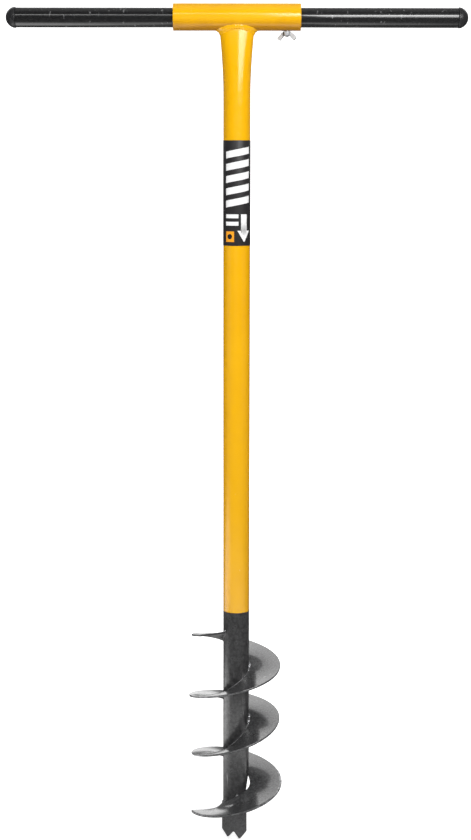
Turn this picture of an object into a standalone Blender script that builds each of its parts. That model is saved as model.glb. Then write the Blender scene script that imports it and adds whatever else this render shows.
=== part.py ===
"""Hand soil auger: T-socket shaft, welded screw flight, fishtail pilot point,
sliding handle bar and wing screw.

Metres, +Z up. The origin is on the shaft axis at the level of the two pilot points.
The handle bar runs along X and the viewer's side is -Y.
"""

import math

import bmesh
import bpy
import numpy as np
from mathutils import Matrix, Vector

MM = 0.001
GAP = 0.3 * MM                 # clearance between neighbouring pieces
SEG = 48                       # facets round the tubes

# ---- shaft ----
TUBE_R = 17.45 * MM
TUBE_WALL = 3.2 * MM
TUBE_BORE_R = TUBE_R - TUBE_WALL
JOINT_Z = 319.0 * MM           # where the coated tube meets the auger tube
JOINT_HALF_GAP = GAP / 2
AUGER_TUBE_END_Z = 50.0 * MM
AUGER_TUBE_EASE = 0.3 * MM
SPIGOT_LEN = 90.0 * MM
SPIGOT_WALL = 2.6 * MM
SPIGOT_EASE = 0.8 * MM

# ---- relief cut in the +X side of the auger tube's lower end ----
RELIEF_DEPTH = 40 * MM         # along Y
RELIEF_OUTLINE_MM = (          # x, z
    (11.95, 45.0), (11.95, 60.0), (13.4, 70.0), (17.7, 98.0), (24.0, 98.0), (24.0, 45.0),
)

# ---- T-socket ----
SOCKET_Z = 1096.4 * MM
SOCKET_R = 17.45 * MM
SOCKET_BORE_R = 13.7 * MM
SOCKET_LEN = 162.8 * MM
SOCKET_EASE = 0.5 * MM
SOCKET_UNDER_Z = SOCKET_Z - SOCKET_R
SOCKET_CLEAR_R = SOCKET_R + GAP

# ---- pressed oval at the top of the shaft ----
FLARE_START_Z = 998.0 * MM
FLARE_HALF_WIDTH = 22.1 * MM   # where it meets the socket
FLARE_STEPS = 8
FLARE_LIMIT = 1.12             # the flare stops growing at this share of its height
COPE_STOCK = 6 * MM            # the uncut tube ends this far below the socket axis
COPE_LEN = 120 * MM

# ---- weld ring under the socket: least size, and how much it grows towards +X and -X ----
RING_STEPS = 48
RING_OUT = 2.2 * MM
RING_OUT_EXTRA = 3.3 * MM
RING_DOWN = 3.2 * MM
RING_DOWN_EXTRA = 2.7 * MM
RING_CONVEX_OUT = 2.8 * MM

# ---- handle ----
BAR_R = 12.7 * MM
BAR_WALL = 2.0 * MM
BAR_BORE_R = BAR_R - BAR_WALL
BAR_EASE = 0.4 * MM
BAR_HALF = 281.7 * MM          # to the end of the tube, caps not counted
BAR_Z = SOCKET_Z - (SOCKET_BORE_R - BAR_R - GAP)
CAP_LIP_R = 13.3 * MM
CAP_LIP_LEN = 2.7 * MM
CAP_DOME_R = CAP_LIP_R - 0.25 * MM
CAP_DOME_LEN = 10.6 * MM
CAP_STEM_LEN = 22.0 * MM
CAP_STEM_R = BAR_BORE_R - 0.9 * MM
CAP_STEM_EASE = 0.8 * MM
CAP_RIB_R = BAR_BORE_R - 0.2 * MM
CAP_RIB_START = 4.0 * MM
CAP_RIB_PITCH = 5.6 * MM

# ---- clamp screw ----
SCREW_X = 63.65 * MM
SCREW_R = 3.0 * MM             # M6
SCREW_HOLE_R = 3.3 * MM
SCREW_HOLE_DEPTH = 12 * MM
SCREW_TOP_Z = SOCKET_Z - SOCKET_BORE_R
SCREW_END_Z = SOCKET_UNDER_Z - 7.75 * MM
SCREW_TOP_EASE = 0.6 * MM
HUB_TOP_Z = SOCKET_UNDER_Z - 0.55 * MM
HUB_LEN = 5.4 * MM
HUB_TOP_R = 5.35 * MM
HUB_LOW_R = 4.3 * MM
HUB_EASE = 0.4 * MM
WING_THICK = 1.9 * MM
WING_TURN = math.radians(-28)
WING_TIP_X = 9 * MM            # corners beyond this are rounded
WING_TIP_ROUND = 1.0 * MM
WING_OUTLINE_MM = (            # distance from the screw axis, height from the hub top
    (3.75, -0.9), (6.9, -1.2), (13.9, -8.3), (9.6, -11.8), (4.6, -6.2), (3.75, -5.0),
)

# ---- screw flight ----
FLIGHT_THICK = 2.9 * MM
FLIGHT_R = 58.8 * MM           # front and back radius
FLIGHT_STEPS_PER_TURN = 48
FLIGHT_SPANS = (0.0, 0.08, 0.18, 0.36, 1.0)   # stations from inner edge to rim
# extra radius of each half-turn lobe, from the top end down (left, right, left, ...)
LOBE_EXTRA_MM = (1.3, 0.9, 4.6, 0.0, 1.7, 3.3, 2.3)
# angle in degrees, rim height in mm, from the leading end up
RIM_STATIONS = (
    (-892.0, 40.9), (-810.0, 56.1), (-720.0, 80.2), (-630.0, 103.4), (-540.0, 120.4),
    (-450.0, 143.7), (-360.0, 170.2), (-270.0, 185.8), (-180.0, 201.5), (-90.0, 222.4),
    (0.0, 243.4), (90.0, 263.8), (217.0, 293.7),
)
FLIGHT_END_DEG = RIM_STATIONS[0][0]
FLIGHT_TOP_DEG = RIM_STATIONS[-1][0]
RIM_RAISE = 2.5 * MM           # the rim stands this much above the inner edge
CURL = 8.0 * MM                # the leading half turn curls up at its inner edge
CURL_REACH = 6.5 * MM
CURL_FALLOFF = 1.3
STAND_OFF = 1.1 * MM           # the leading half turn stands about this far off the tube
# ramps down the flight: start angle, angle covered, both in degrees
LEAD_RAMP = (-712, 100)
STAND_OFF_RAMP = (-656, 24)
FIRST_CLOSING_RAMP = (-738, 40)
LAST_CLOSING_RAMP = (-835, 50)
FIRST_CLOSING = 0.05           # share of the stand-off lost over each closing ramp
LAST_CLOSING = 0.30

# ---- welds on the flight ----
# name, start and end in degrees, height and width in mm, number of lumps
FLIGHT_WELDS = (
    ("flight_weld_top_end", 216.0, 190.0, 3.6, 3.4, 1),
    ("flight_weld_first_right", 22.0, -26.0, 2.4, 2.2, 2),
    ("flight_weld_first_left", -148.0, -178.0, 2.6, 2.4, 2),
    ("flight_weld_second_right", -336.0, -392.0, 2.2, 2.2, 3),
    ("flight_weld_second_left", -506.0, -538.0, 2.6, 2.4, 2),
    ("flight_weld_third_right", -626.0, -654.0, 2.4, 2.2, 1),
)
# name, start and end in degrees
LEADING_WELDS = (
    ("flight_weld_lower_front", -800.0, -812.0),
    ("flight_weld_cutting_end", -862.0, -889.0),
)
WELD_STEPS = 14
LEADING_WELD_STEPS = 12
LEADING_WELD_RISE = 1.8 * MM
LEADING_WELD_DROP = 1.0 * MM
LEADING_WELD_OVERLAP = 1.2 * MM

# ---- pilot point ----
PILOT_HALF_W = 17.3 * MM
PILOT_THICK = 5.5 * MM
PILOT_TURN = Matrix.Rotation(math.radians(-24), 4, "Z")
PILOT_TANG_HALF_W = 12.9 * MM
PILOT_TANG_TOP_Z = 92.0 * MM
PILOT_SHOULDER_Z = AUGER_TUBE_END_Z - GAP
PILOT_CORNER_Z = 10.6 * MM
PILOT_NOTCH_Z = 8.3 * MM
PILOT_POINT_X = 8.6 * MM
PILOT_LAND = 0.9 * MM          # half width of the flats on the points and in the notch
PILOT_SHIFT = -2.5 * MM        # the blade sits off the shaft axis, the tang does not
PILOT_EDGE_ROUND = 0.5 * MM
PILOT_WELD_SIZE = Vector((11.5, 2.6, 2.4)) * MM   # half length, half depth, half height

# ---- label ----
LABEL_LOW_Z = 806.2 * MM
LABEL_TOP_Z = 940.8 * MM
LABEL_IN_R = TUBE_R + 0.08 * MM
LABEL_OUT_R = TUBE_R + 0.25 * MM


# ------------------------------------------------------------------ materials
def material(name, colour, roughness, metallic=0.0):
    mat = bpy.data.materials.new(name)
    mat.use_nodes = True
    bsdf = mat.node_tree.nodes["Principled BSDF"]
    bsdf.inputs["Base Color"].default_value = (*colour, 1.0)
    bsdf.inputs["Roughness"].default_value = roughness
    bsdf.inputs["Metallic"].default_value = metallic
    mat.diffuse_color = (*colour, 1.0)
    return mat


YELLOW = material("yellow_coat", colour=(0.90, 0.50, 0.01), roughness=0.35)
YELLOW_WELD = material("yellow_coat_weld", colour=(0.88, 0.49, 0.01), roughness=0.35)
DARK = material("dark_coat", colour=(0.10, 0.10, 0.105), roughness=0.35)
FLIGHT_COAT = material("flight_coat", colour=(0.16, 0.16, 0.165), roughness=0.25)
WELD = material("weld_metal", colour=(0.35, 0.35, 0.36), roughness=0.35, metallic=0.8)
POINT = material("point_coat", colour=(0.11, 0.11, 0.115), roughness=0.45)
LABEL = material("label_film", colour=(0.03, 0.03, 0.035), roughness=0.4)
BAR = material("bar_coat", colour=(0.05, 0.05, 0.055), roughness=0.35)
CAP = material("cap_plastic", colour=(0.02, 0.02, 0.022), roughness=0.5)
ZINC = material("zinc_plate", colour=(0.75, 0.75, 0.76), roughness=0.3, metallic=1.0)
STEEL = material("bare_steel", colour=(0.45, 0.45, 0.46), roughness=0.4, metallic=1.0)


# ------------------------------------------------------------------ shared building steps
def dress(obj, mat, angle=35.0):
    """Give obj one material and smooth shading, with edges over angle degrees kept sharp."""
    obj.data.materials.clear()
    obj.data.materials.append(mat)
    obj.data.shade_smooth()
    obj.data.set_sharp_from_angle(angle=math.radians(angle))


def link_object(name, bm, origin):
    mesh = bpy.data.meshes.new(name)
    bm.to_mesh(mesh)
    bm.free()
    obj = bpy.data.objects.new(name, mesh)
    bpy.context.scene.collection.objects.link(obj)
    obj.location = origin
    return obj


def finish(name, bm, mat, origin=(0, 0, 0), angle=35.0):
    """Turn a bmesh drawn about its own origin into a named object placed at origin."""
    bmesh.ops.remove_doubles(bm, verts=bm.verts, dist=1e-7)
    bmesh.ops.recalc_face_normals(bm, faces=bm.faces)
    obj = link_object(name, bm, origin)
    dress(obj, mat, angle)
    return obj


def boolean(obj, tool_bm, operation, origin=(0, 0, 0)):
    """Apply one exact boolean to obj, keeping its material, and remove the tool."""
    bmesh.ops.recalc_face_normals(tool_bm, faces=tool_bm.faces)
    tool = link_object(obj.name + "_tool", tool_bm, origin)
    mod = obj.modifiers.new("cut", "BOOLEAN")
    mod.operation = operation
    mod.solver = "EXACT"
    mod.object = tool
    bpy.context.view_layer.update()
    graph = bpy.context.evaluated_depsgraph_get()
    baked = bpy.data.meshes.new_from_object(obj.evaluated_get(graph))
    mat = obj.data.materials[0]
    obj.modifiers.remove(mod)
    obj.data = baked
    bpy.data.objects.remove(tool, do_unlink=True)
    dress(obj, mat)


def spun(points, steps=SEG, axis=(0, 0, 1), closed=True):
    """Spin a (radius, height) outline about Z, then lay Z along axis.

    An outline that isn't closed has its two ends on the axis.
    """
    bm = bmesh.new()
    verts = [bm.verts.new((r, 0, z)) for r, z in points]
    following = verts[1:] + (verts[:1] if closed else [])
    edges = [bm.edges.new(pair) for pair in zip(verts, following)]
    bmesh.ops.spin(bm, geom=verts + edges, cent=(0, 0, 0), axis=(0, 0, 1),
                   angle=2 * math.pi, steps=steps, use_merge=True)
    if axis != (0, 0, 1):
        turn = Vector((0, 0, 1)).rotation_difference(Vector(axis)).to_matrix().to_4x4()
        bmesh.ops.transform(bm, matrix=turn, verts=bm.verts)
    return bm


def tube_outline(bore_r, outer_r, low, high, ease):
    """Outline of a tube whose outer rims are eased."""
    return [
        (bore_r, low), (outer_r - ease, low), (outer_r, low + ease),
        (outer_r, high - ease), (outer_r - ease, high), (bore_r, high),
    ]


def lofted(rings, closed):
    """Skin rings of points into one solid, closing the run on itself or capping its ends."""
    bm = bmesh.new()
    loops = [[bm.verts.new(point) for point in ring] for ring in rings]
    count = len(loops[0])
    for this, after in zip(loops, loops[1:] + (loops[:1] if closed else [])):
        for i in range(count):
            j = (i + 1) % count
            bm.faces.new((this[i], this[j], after[j], after[i]))
    if not closed:
        bm.faces.new(loops[0])
        bm.faces.new(reversed(loops[-1]))
    return bm


def slab(outline, thick):
    """Flat plate with an (x, z) outline, centred on y = 0."""
    bm = bmesh.new()
    face = bm.faces.new([bm.verts.new((x, -thick / 2, z)) for x, z in outline])
    pushed = bmesh.ops.extrude_face_region(bm, geom=[face])["geom"]
    moved = [item for item in pushed if isinstance(item, bmesh.types.BMVert)]
    bmesh.ops.translate(bm, verts=moved, vec=(0, thick, 0))
    bmesh.ops.recalc_face_normals(bm, faces=bm.faces)
    return bm


def cylinder(radius, depth, segments, turn=Matrix.Identity(4)):
    bm = bmesh.new()
    bmesh.ops.create_cone(bm, cap_ends=True, segments=segments, radius1=radius,
                          radius2=radius, depth=depth, matrix=turn)
    return bm


def ease01(u):
    """Smooth step from 0 to 1."""
    u = min(max(u, 0.0), 1.0)
    return u * u * (3 - 2 * u)


def swell(u, margin, power):
    """Size of a weld bead at share u of its length, full in the middle and small at the ends."""
    return math.sin(math.pi * min(max(u, margin), 1 - margin)) ** power


def around(angle, section):
    """Stand a (radius, height) section at an angle about Z."""
    return [(r * math.cos(angle), r * math.sin(angle), z) for r, z in section]


# ------------------------------------------------------------------ T-socket
def build_socket():
    half = SOCKET_LEN / 2
    ease = SOCKET_EASE
    outline = [
        (SOCKET_BORE_R, -half + ease), (SOCKET_BORE_R + ease, -half),
        (SOCKET_R - ease, -half), (SOCKET_R, -half + ease),
        (SOCKET_R, half - ease), (SOCKET_R - ease, half),
        (SOCKET_BORE_R + ease, half), (SOCKET_BORE_R, half - ease),
    ]
    socket = finish("t_socket", spun(outline, axis=(1, 0, 0)), YELLOW, (0, 0, SOCKET_Z))
    hole = cylinder(SCREW_HOLE_R, SCREW_HOLE_DEPTH, segments=32)
    boolean(socket, hole, "DIFFERENCE", (SCREW_X, 0, SOCKET_UNDER_Z))


# ------------------------------------------------------------------ shaft tube
def flare(z):
    """Half width of the shaft at height z."""
    s = (z - FLARE_START_Z) / (SOCKET_UNDER_Z - FLARE_START_Z)
    s = min(max(s, 0.0), FLARE_LIMIT)
    return TUBE_R + (FLARE_HALF_WIDTH - TUBE_R) * (1.35 * s * s - 0.35 * s**3)


def half_depth(half_width):
    """Half depth of the pressed oval that keeps the round tube's girth, by bisection."""
    a = half_width
    girth = 2 * math.pi * TUBE_R
    low, high = 0.4 * TUBE_R, TUBE_R
    for _ in range(60):
        b = (low + high) / 2
        # Ramanujan's perimeter of an ellipse
        perimeter = math.pi * (3 * (a + b) - math.sqrt((3 * a + b) * (a + 3 * b)))
        if perimeter < girth:
            low = b
        else:
            high = b
    return (low + high) / 2


def oval(z, inset):
    """Section of the shaft at height z, drawn in by inset."""
    width = flare(z)
    depth = TUBE_R if width - TUBE_R < 1e-7 else half_depth(width)
    angles = [2 * math.pi * i / SEG for i in range(SEG)]
    return [((width - inset) * math.cos(t), (depth - inset) * math.sin(t), z) for t in angles]


def build_shaft():
    flare_len = SOCKET_Z - COPE_STOCK - FLARE_START_Z
    levels = [JOINT_Z + JOINT_HALF_GAP]
    levels += [FLARE_START_Z + flare_len * k / FLARE_STEPS for k in range(FLARE_STEPS + 1)]
    outer = [oval(z, 0.0) for z in levels]
    inner = [oval(z, TUBE_WALL) for z in reversed(levels)]
    shaft = finish("shaft_tube", lofted(outer + inner, closed=True), YELLOW)
    # cope the top to sit round the socket
    along_x = Matrix.Rotation(math.pi / 2, 4, "Y")
    cope = cylinder(SOCKET_CLEAR_R, COPE_LEN, segments=64, turn=along_x)
    boolean(shaft, cope, "DIFFERENCE", (0, 0, SOCKET_Z))


# ------------------------------------------------------------------ weld ring, socket to shaft
def ring_section(angle, half_width, depth):
    """Section of the ring: flush under the socket, concave at the sides, convex front and back."""
    side = math.cos(angle) ** 2
    cos, sin = math.cos(angle), math.sin(angle)
    normal = Vector((cos / half_width, sin / depth, 0)).normalized()
    base = Vector((half_width * cos, depth * sin, 0)) + normal * GAP
    out = RING_OUT + RING_OUT_EXTRA * side
    down = RING_DOWN + RING_DOWN_EXTRA * side

    def under_socket(distance):
        y = (base + normal * distance).y
        return SOCKET_Z - math.sqrt(SOCKET_CLEAR_R**2 - y**2)

    section = [(d, under_socket(d)) for d in (0.0, out / 3, 2 * out / 3, out)]
    root_z = section[0][1]
    rim_height = section[-1][1]
    low_z = root_z - down
    # the outer face is a quadratic curve, from the rim down to the shaft
    bend_out = side * 0.12 * out + (1 - side) * RING_CONVEX_OUT
    bend_z = side * (root_z - 0.12 * down) + (1 - side) * (root_z - 0.75 * down)
    for k in range(1, 8):
        u = k / 8
        distance = (1 - u) ** 2 * out + 2 * u * (1 - u) * bend_out
        z = (1 - u) ** 2 * rim_height + 2 * u * (1 - u) * bend_z + u * u * low_z
        section.append((distance, z))
    section.append((0.0, low_z))
    return [tuple(base + normal * d + Vector((0, 0, z))) for d, z in section]


def build_weld_ring():
    half_width = flare(SOCKET_UNDER_Z)
    depth = half_depth(half_width)
    angles = [2 * math.pi * i / RING_STEPS for i in range(RING_STEPS)]
    rings = [ring_section(angle, half_width, depth) for angle in angles]
    finish("socket_weld_ring", lofted(rings, closed=True), YELLOW_WELD, angle=50)


# ------------------------------------------------------------------ auger tube and spigot
def build_auger_tube():
    top = JOINT_Z - JOINT_HALF_GAP
    outline = tube_outline(TUBE_BORE_R, TUBE_R, AUGER_TUBE_END_Z, top, AUGER_TUBE_EASE)
    tube = finish("auger_tube", spun(outline), DARK)
    # the lower end is ground back where the flight's leading half turn stands clear of it
    relief = slab([(x * MM, z * MM) for x, z in RELIEF_OUTLINE_MM], RELIEF_DEPTH)
    boolean(tube, relief, "DIFFERENCE")


def build_spigot():
    """Sleeve inside the joint of the two tubes."""
    outer_r = TUBE_BORE_R - GAP
    half = SPIGOT_LEN / 2
    outline = tube_outline(outer_r - SPIGOT_WALL, outer_r, -half, half, SPIGOT_EASE)
    finish("joint_spigot", spun(outline), STEEL, (0, 0, JOINT_Z))


# ------------------------------------------------------------------ screw flight
KNOT_ANGLE = np.radians([degrees for degrees, _ in RIM_STATIONS])
KNOT_Z = np.array([height for _, height in RIM_STATIONS]) * MM


def natural_cubic(x, y):
    """Second derivatives, at its knots, of the natural cubic through the points."""
    n = len(x)
    matrix = np.zeros((n, n))
    right = np.zeros(n)
    matrix[0, 0] = matrix[-1, -1] = 1.0
    for i in range(1, n - 1):
        before, after = x[i] - x[i - 1], x[i + 1] - x[i]
        matrix[i, i - 1:i + 2] = before, 2 * (before + after), after
        right[i] = 6 * ((y[i + 1] - y[i]) / after - (y[i] - y[i - 1]) / before)
    return np.linalg.solve(matrix, right)


KNOT_BEND = natural_cubic(KNOT_ANGLE, KNOT_Z)


def rim_z(angle):
    i = int(np.clip(np.searchsorted(KNOT_ANGLE, angle) - 1, 0, len(KNOT_ANGLE) - 2))
    step = KNOT_ANGLE[i + 1] - KNOT_ANGLE[i]
    a = (KNOT_ANGLE[i + 1] - angle) / step
    b = (angle - KNOT_ANGLE[i]) / step
    bend = (a**3 - a) * KNOT_BEND[i] + (b**3 - b) * KNOT_BEND[i + 1]
    return float(a * KNOT_Z[i] + b * KNOT_Z[i + 1] + bend * step * step / 6)


def rim_r(angle):
    lobe = round(1 - angle / math.pi)
    return FLIGHT_R + LOBE_EXTRA_MM[lobe] * MM * math.cos(angle) ** 2


def ramp(angle, start_and_span):
    """0 above the ramp's start angle, 1 below its end."""
    start, span = start_and_span
    return ease01((math.radians(start) - angle) / math.radians(span))


def inner_r(angle):
    """Inner edge of the plate, which stands off the tube on the leading half turn."""
    stand_off = STAND_OFF * ramp(angle, STAND_OFF_RAMP)
    stand_off *= 1 - FIRST_CLOSING * ramp(angle, FIRST_CLOSING_RAMP)
    stand_off *= 1 - LAST_CLOSING * ramp(angle, LAST_CLOSING_RAMP)
    return TUBE_R + GAP + stand_off


def flight_mid(angle, r):
    """Height of the middle of the plate at an angle and radius."""
    inner = inner_r(angle)
    rim = rim_r(angle)
    curled = ramp(angle, LEAD_RAMP)
    dip = RIM_RAISE * (rim - r) / (rim - inner) * (1 - curled)
    curl = CURL * curled * math.exp(-((r - inner) / CURL_REACH) ** CURL_FALLOFF)
    return rim_z(angle) - dip + curl


def build_flight():
    top, end = math.radians(FLIGHT_TOP_DEG), math.radians(FLIGHT_END_DEG)
    steps = round((FLIGHT_TOP_DEG - FLIGHT_END_DEG) / 360 * FLIGHT_STEPS_PER_TURN)
    half = FLIGHT_THICK / 2
    rings = []
    for k in range(steps + 1):
        angle = top + (end - top) * k / steps
        inner, rim = inner_r(angle), rim_r(angle)
        radii = [inner + (rim - inner) * span for span in FLIGHT_SPANS]
        section = [(r, flight_mid(angle, r) + half) for r in radii]
        section += [(r, flight_mid(angle, r) - half) for r in reversed(radii)]
        rings.append(around(angle, section))
    finish("auger_flight", lofted(rings, closed=False), FLIGHT_COAT)


# ------------------------------------------------------------------ welds on the flight
def build_bead(name, start_deg, end_deg, steps, section_at):
    """Loft a weld whose section is section_at(angle, share of the length)."""
    start, end = math.radians(start_deg), math.radians(end_deg)
    rings = []
    for k in range(steps + 1):
        u = k / steps
        angle = start + (end - start) * u
        rings.append(around(angle, section_at(angle, u)))
    finish(name, lofted(rings, closed=False), WELD, angle=60)


def build_flight_weld(name, start_deg, end_deg, full_height, full_width, lumps):
    """A bead in the corner between the tube and the top of the flight."""
    def section_at(angle, u):
        size = swell(u, 0.02, 0.5) * (0.78 + 0.22 * math.cos(2 * math.pi * lumps * u))
        height, width = full_height * size, full_width * size
        root_r = TUBE_R + GAP
        radii = [root_r + width * s for s in (0.0, 0.5, 1.0)]
        section = [(r, flight_mid(angle, r) + FLIGHT_THICK / 2 + GAP) for r in radii]
        root_z = section[0][1]
        slope = section[-1][1] - root_z
        for j in range(1, 6):
            a = math.pi / 2 * j / 6
            cos, sin = math.cos(a), math.sin(a)
            z = root_z + slope * cos + height * sin ** 0.8
            section.append((root_r + width * cos ** 0.8, z))
        return section + [(root_r, root_z + height)]

    build_bead(name, start_deg, end_deg, WELD_STEPS, section_at)


def leading_section(angle, u):
    """A tack that bridges the stand-off between the tube and the curled inner edge."""
    size = swell(u, 0.04, 0.6)
    tube_r = TUBE_R + GAP
    plate_r = inner_r(angle) - GAP
    mid = flight_mid(angle, inner_r(angle))
    low = mid - LEADING_WELD_DROP * size
    shelf = mid + FLIGHT_THICK / 2 + GAP
    rise = LEADING_WELD_RISE * size
    over = LEADING_WELD_OVERLAP * size
    return [
        (tube_r, low), (plate_r, low), (plate_r, shelf), (plate_r + over, shelf),
        (plate_r + 0.7 * over, shelf + 0.6 * rise),
        ((tube_r + plate_r) / 2, shelf + rise), (tube_r, shelf + 1.1 * rise),
    ]


def build_flight_welds():
    for name, start, end, height, width, lumps in FLIGHT_WELDS:
        build_flight_weld(name, start, end, height * MM, width * MM, lumps)
    for name, start, end in LEADING_WELDS:
        build_bead(name, start, end, LEADING_WELD_STEPS, leading_section)


# ------------------------------------------------------------------ pilot point
def build_pilot():
    """Fishtail blade with a tang that runs up inside the auger tube."""
    right = [                  # from the notch out and up to the shoulder
        (PILOT_LAND, PILOT_NOTCH_Z),
        (PILOT_POINT_X - PILOT_LAND, 0.0), (PILOT_POINT_X + PILOT_LAND, 0.0),
        (PILOT_HALF_W, PILOT_CORNER_Z), (PILOT_HALF_W, PILOT_SHOULDER_Z),
    ]
    blade = [(-x, z) for x, z in reversed(right)] + right
    tang = [
        (PILOT_TANG_HALF_W, PILOT_SHOULDER_Z), (PILOT_TANG_HALF_W, PILOT_TANG_TOP_Z),
        (-PILOT_TANG_HALF_W, PILOT_TANG_TOP_Z), (-PILOT_TANG_HALF_W, PILOT_SHOULDER_Z),
    ]
    plate = slab([(x + PILOT_SHIFT, z) for x, z in blade] + tang, PILOT_THICK)

    def is_long_edge(edge):
        """True for the upright edges of the two broad faces, above the points."""
        a, b = (vert.co for vert in edge.verts)
        return abs(a.y - b.y) < 1e-9 and min(a.z, b.z) > 1 * MM and abs(a.z - b.z) > 1e-6

    long_edges = [edge for edge in plate.edges if is_long_edge(edge)]
    bmesh.ops.bevel(plate, geom=long_edges, offset=PILOT_EDGE_ROUND, segments=2,
                    profile=0.5, affect="EDGES")
    bmesh.ops.transform(plate, matrix=PILOT_TURN, verts=plate.verts)
    finish("pilot_point", plate, POINT, angle=30)


def build_pilot_welds():
    """A bead on each broad face, just under the end of the auger tube."""
    for name, side in (("pilot_weld_front", -1), ("pilot_weld_back", 1)):
        bead = bmesh.new()
        bmesh.ops.create_uvsphere(bead, u_segments=16, v_segments=8, radius=1.0)
        bmesh.ops.scale(bead, vec=PILOT_WELD_SIZE, verts=bead.verts)
        bmesh.ops.transform(bead, matrix=PILOT_TURN, verts=bead.verts)
        stand = PILOT_THICK / 2 + GAP + PILOT_WELD_SIZE.y
        place = PILOT_TURN @ Vector((0, side * stand, 0))
        place.z = PILOT_SHOULDER_Z - PILOT_WELD_SIZE.z
        finish(name, bead, WELD, place)


# ------------------------------------------------------------------ label
def build_label():
    outline = [
        (LABEL_IN_R, LABEL_LOW_Z), (LABEL_OUT_R, LABEL_LOW_Z),
        (LABEL_OUT_R, LABEL_TOP_Z), (LABEL_IN_R, LABEL_TOP_Z),
    ]
    finish("label_wrap", spun(outline), LABEL)


# ------------------------------------------------------------------ handle bar and end caps
def build_bar():
    outline = tube_outline(BAR_BORE_R, BAR_R, -BAR_HALF, BAR_HALF, BAR_EASE)
    finish("handle_bar", spun(outline, axis=(1, 0, 0)), BAR, (0, 0, BAR_Z))


def build_caps():
    """Ribbed stem inside the bar, then a lip and a dome outside it."""
    outline = [
        (0.0, -CAP_STEM_LEN), (CAP_STEM_R - CAP_STEM_EASE, -CAP_STEM_LEN),
        (CAP_STEM_R, -CAP_STEM_LEN + CAP_STEM_EASE),
    ]
    for k in range(3):
        z = -CAP_STEM_LEN + CAP_RIB_START + CAP_RIB_PITCH * k
        outline += [(CAP_STEM_R, z), (CAP_RIB_R, z + 0.9 * MM), (CAP_STEM_R, z + 3.0 * MM)]
    outline += [
        (CAP_STEM_R, GAP), (CAP_LIP_R - 0.4 * MM, GAP), (CAP_LIP_R, GAP + 0.5 * MM),
        (CAP_LIP_R, CAP_LIP_LEN - 0.3 * MM), (CAP_DOME_R, CAP_LIP_LEN),
    ]
    for k in range(1, 10):
        rise = 1 - math.cos(math.pi / 2 * k / 10)
        r = CAP_DOME_R * (1 - rise ** 1.6) ** 0.5
        outline.append((r, CAP_LIP_LEN + CAP_DOME_LEN * rise))
    outline.append((0.0, CAP_LIP_LEN + CAP_DOME_LEN))
    for name, side in (("end_cap_left", -1), ("end_cap_right", 1)):
        cap = spun(outline, steps=32, axis=(side, 0, 0), closed=False)
        finish(name, cap, CAP, (side * BAR_HALF, 0, BAR_Z), angle=50)


# ------------------------------------------------------------------ clamp stud and wing head
def build_stud():
    tip = SCREW_END_Z - SCREW_TOP_Z
    outline = [
        (0.0, tip), (1.3 * MM, tip + 0.15 * MM), (2.4 * MM, tip + 0.7 * MM),
        (SCREW_R, tip + 1.5 * MM), (SCREW_R, -SCREW_TOP_EASE),
        (SCREW_R - SCREW_TOP_EASE, 0.0), (0.0, 0.0),
    ]
    stud = spun(outline, steps=32, closed=False)
    finish("clamp_stud", stud, ZINC, (SCREW_X, 0, SCREW_TOP_Z))


def wing_blade(side):
    outline = [(side * x * MM, z * MM) for x, z in WING_OUTLINE_MM]
    blade = slab(outline, WING_THICK)

    def is_tip(edge):
        """True for the outer corners, which run through the thickness."""
        a, b = (vert.co for vert in edge.verts)
        return min(abs(a.x), abs(b.x)) > WING_TIP_X and abs(a.y - b.y) > 1e-6

    tips = [edge for edge in blade.edges if is_tip(edge)]
    bmesh.ops.bevel(blade, geom=tips, offset=WING_TIP_ROUND, segments=3,
                    profile=0.5, affect="EDGES")
    return blade


def build_wing_head():
    outline = [
        (SCREW_HOLE_R, -HUB_LEN), (HUB_LOW_R - HUB_EASE, -HUB_LEN),
        (HUB_LOW_R, -HUB_LEN + 0.5 * MM), (HUB_TOP_R, -1.0 * MM),
        (HUB_TOP_R, -HUB_EASE), (HUB_TOP_R - HUB_EASE, 0.0), (SCREW_HOLE_R, 0.0),
    ]
    place = (SCREW_X, 0, HUB_TOP_Z)
    wing = finish("wing_head", spun(outline, steps=40), ZINC, place)
    for side in (-1, 1):
        boolean(wing, wing_blade(side), "UNION", place)
    wing.rotation_euler = (0, 0, WING_TURN)


def main():
    for stale in list(bpy.data.objects):
        bpy.data.objects.remove(stale, do_unlink=True)
    build_socket()
    build_shaft()
    build_weld_ring()
    build_auger_tube()
    build_spigot()
    build_flight()
    build_flight_welds()
    build_pilot()
    build_pilot_welds()
    build_label()
    build_bar()
    build_caps()
    build_stud()
    build_wing_head()


main()
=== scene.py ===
"""Looks, light and camera for the hand soil auger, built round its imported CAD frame."""

import math
import random

import bmesh
import bpy
import numpy as np
from mathutils import Matrix, Vector


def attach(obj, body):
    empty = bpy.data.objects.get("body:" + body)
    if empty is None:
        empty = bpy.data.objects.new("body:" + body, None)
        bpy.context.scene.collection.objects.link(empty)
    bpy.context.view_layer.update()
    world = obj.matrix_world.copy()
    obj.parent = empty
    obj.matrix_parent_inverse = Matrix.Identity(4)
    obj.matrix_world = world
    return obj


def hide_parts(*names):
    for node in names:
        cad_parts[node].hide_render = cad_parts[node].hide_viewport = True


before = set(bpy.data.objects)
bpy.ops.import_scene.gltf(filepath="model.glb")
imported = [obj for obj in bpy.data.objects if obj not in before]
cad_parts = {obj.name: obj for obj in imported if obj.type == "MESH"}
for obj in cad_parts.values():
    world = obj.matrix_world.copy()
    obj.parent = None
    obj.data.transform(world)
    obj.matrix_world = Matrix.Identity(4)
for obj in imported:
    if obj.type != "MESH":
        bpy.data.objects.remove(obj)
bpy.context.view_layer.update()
MM = 0.001
GAP = 0.3 * MM
random.seed(7)

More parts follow.
